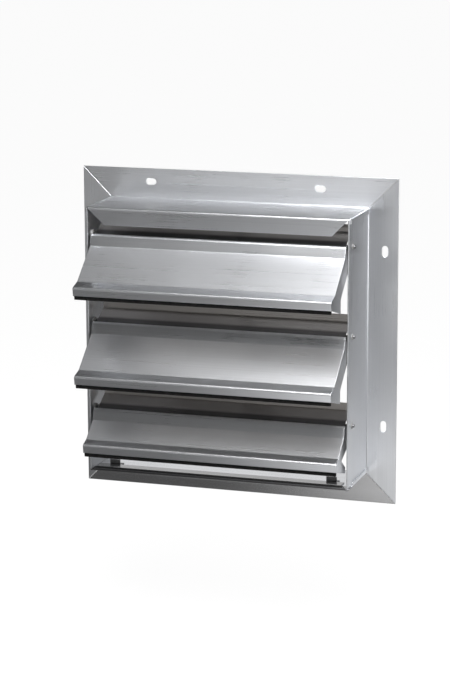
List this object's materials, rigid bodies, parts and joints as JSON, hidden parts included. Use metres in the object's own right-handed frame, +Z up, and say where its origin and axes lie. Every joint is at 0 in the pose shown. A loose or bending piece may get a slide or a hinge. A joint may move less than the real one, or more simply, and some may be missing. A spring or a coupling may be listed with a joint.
{
  "type": "automatic exhaust shutter",
  "caption": "Square wall shutter in bare aluminium: a mitred flanged frame with pivoted louver blades, felt edges and a tie bar, opened by a fan's air and closed by weight.",
  "frame": {"origin": "centre of the square flange, on its back face against the wall", "axes": "+Z up, +X to the right seen from outside, +Y into the wall, the blades open towards -Y"},
  "size_m": [0.3302, 0.1242, 0.3302],
  "materials": {
    "aluminium": "mill, fine brushing along the length",
    "felt": "black wool felt",
    "steel": "zinc plated",
    "nylon": "natural"
  },
  "bodies": {
    "frame": {"frame_top": "aluminium", "frame_bottom": "aluminium", "frame_left": "aluminium", "frame_right": "aluminium", "stop_clip_left": "aluminium", "stop_clip_right": "aluminium", "bushing_top_left": "nylon", "bushing_top_right": "nylon", "bushing_middle_left": "nylon", "bushing_middle_right": "nylon", "bushing_bottom_left": "nylon", "bushing_bottom_right": "nylon"},
    "blade_top": {"blade_top": "aluminium", "felt_top": "felt", "axle_top": "steel", "link_arm_top": "steel", "link_pin_top": "steel"},
    "blade_middle": {"blade_middle": "aluminium", "felt_middle": "felt", "axle_middle": "steel", "link_arm_middle": "steel", "link_pin_middle": "steel"},
    "blade_bottom": {"blade_bottom": "aluminium", "felt_bottom": "felt", "axle_bottom": "steel", "link_arm_bottom": "steel", "link_pin_bottom": "steel"},
    "tie_bar": {"tie_bar": "steel"}
  },
  "joints": [
    {"name": "blade_top_hinge", "type": "hinge", "parent": "frame", "child": "blade_top", "pos_m": [0, -0.06, 0.106], "axis": [-1, 0, 0], "range_deg": [-45.8, 30]},
    {"name": "blade_middle_hinge", "type": "hinge", "parent": "frame", "child": "blade_middle", "pos_m": [0, -0.06, 0.017], "axis": [-1, 0, 0], "range_deg": [-45.8, 30]},
    {"name": "blade_bottom_hinge", "type": "hinge", "parent": "frame", "child": "blade_bottom", "pos_m": [0, -0.06, -0.072], "axis": [-1, 0, 0], "range_deg": [-45.8, 30]},
    {"name": "tie_bar_hinge", "type": "hinge", "parent": "blade_top", "child": "tie_bar", "pos_m": [0, -0.022, 0.098], "axis": [-1, 0, 0], "range_deg": [-30, 45.8]}
  ],
  "couplings": [
    {"joint": "blade_middle_hinge", "follows": "blade_top_hinge", "ratio": 1},
    {"joint": "blade_bottom_hinge", "follows": "blade_top_hinge", "ratio": 1},
    {"joint": "tie_bar_hinge", "follows": "blade_top_hinge", "ratio": -1}
  ]
}
